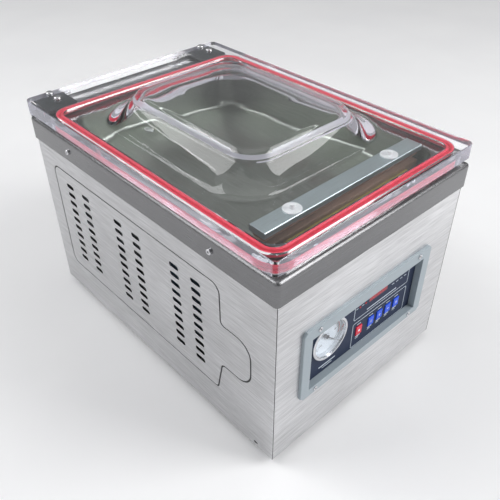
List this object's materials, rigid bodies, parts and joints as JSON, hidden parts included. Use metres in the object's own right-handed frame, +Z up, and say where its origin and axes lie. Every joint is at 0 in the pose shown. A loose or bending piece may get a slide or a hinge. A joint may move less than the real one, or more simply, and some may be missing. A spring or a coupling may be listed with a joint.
{
  "type": "vacuum packing machine",
  "caption": "Tabletop chamber vacuum sealer: brushed steel cabinet, hinged clear domed lid with red gasket, lifting seal bar, vacuum gauge and push-button panel.",
  "frame": {"origin": "on the surface the feet stand on, below the middle of the cabinet's plan", "axes": "+Z up; the front with the control panel faces -Y; +X is to the right seen from the front"},
  "size_m": [0.3412, 0.5174, 0.357],
  "materials": {
    "brushed_sheet": "brushed",
    "satin_sheet": "satin",
    "tub_steel": "satin",
    "zinc_sheet": "zinc plated",
    "screw_steel": "bright",
    "pin_steel": "ground",
    "spring_steel": "oiled",
    "foot_rubber": "matte",
    "clear_acrylic": "polished",
    "red_silicone": "satin",
    "brown_silicone": "matte",
    "dark_hinge": "satin",
    "bar_aluminium": "anodised",
    "seal_aluminium": "mill",
    "nichrome": "oxidised",
    "brown_cloth": "woven coated",
    "olive_strip": "dull",
    "bezel_grey": "satin",
    "navy_print": "satin",
    "red_display": "polished",
    "red_lamp": "polished",
    "red_button": "gloss",
    "blue_button": "gloss",
    "gauge_steel": "polished",
    "gauge_white": "printed",
    "gauge_window": "polished",
    "needle_black": "satin",
    "case_black": "satin",
    "board_green": "solder mask",
    "switch_black": "moulded",
    "cylinder_aluminium": "turned",
    "bush_brass": "turned",
    "pump_paint": "hammered",
    "motor_paint": "satin",
    "sight_glass": "polished",
    "cap_plastic": "moulded",
    "fan_plastic": "moulded",
    "rail_steel": "black",
    "hose_rubber": "matte",
    "valve_brass": "cast",
    "core_steel": "laminated",
    "coil_tape": "taped",
    "contactor_plastic": "moulded",
    "inlet_plastic": "moulded",
    "pin_brass": "bright"
  },
  "bodies": {
    "machine": {"base_pan": "zinc_sheet", "rubber_feet": "foot_rubber", "side_panel_left": "brushed_sheet", "side_panel_right": "brushed_sheet", "front_panel": "brushed_sheet", "back_panel": "brushed_sheet", "top_deck": "satin_sheet", "cabinet_screws": "screw_steel", "chamber_basin": "tub_steel", "chamber_port": "screw_steel", "panel_bezel": "bezel_grey", "bezel_screws": "screw_steel", "membrane_panel": "navy_print", "display_window": "red_display", "indicator_lamps": "red_lamp", "key_switches": "switch_black", "control_board": "board_green", "gauge_case": "case_black", "gauge_ring": "gauge_steel", "gauge_dial": "gauge_white", "gauge_glass": "gauge_window", "hinge_brackets": "dark_hinge", "hinge_pins": "pin_steel", "lid_springs": "spring_steel", "lift_cylinders": "cylinder_aluminium", "guide_bushes": "bush_brass", "return_springs": "spring_steel", "pump_housing": "pump_paint", "oil_sight_glass": "sight_glass", "filler_cap": "cap_plastic", "pump_motor": "motor_paint", "fan_cover": "motor_paint", "pump_rails": "rail_steel", "vacuum_hose": "hose_rubber", "solenoid_valves": "valve_brass", "transformer_core": "core_steel", "transformer_coil": "coil_tape", "power_contactor": "contactor_plastic", "power_inlet": "inlet_plastic", "inlet_pins": "pin_brass"},
    "lid": {"lid_plate": "clear_acrylic", "lid_gasket": "red_silicone", "lid_bolts": "screw_steel", "hinge_leaves": "dark_hinge", "pressure_bar": "bar_aluminium", "pressure_pad": "brown_silicone", "bar_fixings": "screw_steel"},
    "seal_bar": {"seal_bar": "seal_aluminium", "heating_band": "nichrome", "seal_cover": "brown_cloth", "clamp_strip": "olive_strip", "clamp_screws": "screw_steel", "lift_rods": "pin_steel"},
    "needle": {"gauge_needle": "needle_black"},
    "fan": {"motor_fan": "fan_plastic"},
    "button_stop": {"button_stop": "red_button"},
    "button_key_1": {"button_key_1": "blue_button"},
    "button_key_2": {"button_key_2": "blue_button"},
    "button_key_3": {"button_key_3": "blue_button"},
    "button_key_4": {"button_key_4": "blue_button"}
  },
  "joints": [
    {"name": "lid_hinge", "type": "hinge", "parent": "machine", "child": "lid", "pos_m": [0, 0.26, 0.2975], "axis": [-1, 0, 0], "range_deg": [0, 65]},
    {"name": "seal_bar_lift", "type": "slide", "parent": "machine", "child": "seal_bar", "axis": [0, 0, 1], "range_m": [0, 0.0046]},
    {"name": "needle_sweep", "type": "hinge", "parent": "machine", "child": "needle", "pos_m": [-0.069, -0.2366, 0.1535], "axis": [0, -1, 0], "range_deg": [0, 270], "stiffness_Nm_per_rad": 0.0004},
    {"name": "fan_spin", "type": "hinge", "parent": "machine", "child": "fan", "pos_m": [-0.05, 0.21, 0.1035], "axis": [0, 1, 0], "continuous": true},
    {"name": "button_stop_press", "type": "slide", "parent": "machine", "child": "button_stop", "axis": [0, 1, 0], "range_m": [0, 0.001], "stiffness_N_per_m": 600},
    {"name": "button_key_1_press", "type": "slide", "parent": "machine", "child": "button_key_1", "axis": [0, 1, 0], "range_m": [0, 0.001], "stiffness_N_per_m": 600},
    {"name": "button_key_2_press", "type": "slide", "parent": "machine", "child": "button_key_2", "axis": [0, 1, 0], "range_m": [0, 0.001], "stiffness_N_per_m": 600},
    {"name": "button_key_3_press", "type": "slide", "parent": "machine", "child": "button_key_3", "axis": [0, 1, 0], "range_m": [0, 0.001], "stiffness_N_per_m": 600},
    {"name": "button_key_4_press", "type": "slide", "parent": "machine", "child": "button_key_4", "axis": [0, 1, 0], "range_m": [0, 0.001], "stiffness_N_per_m": 600}
  ]
}
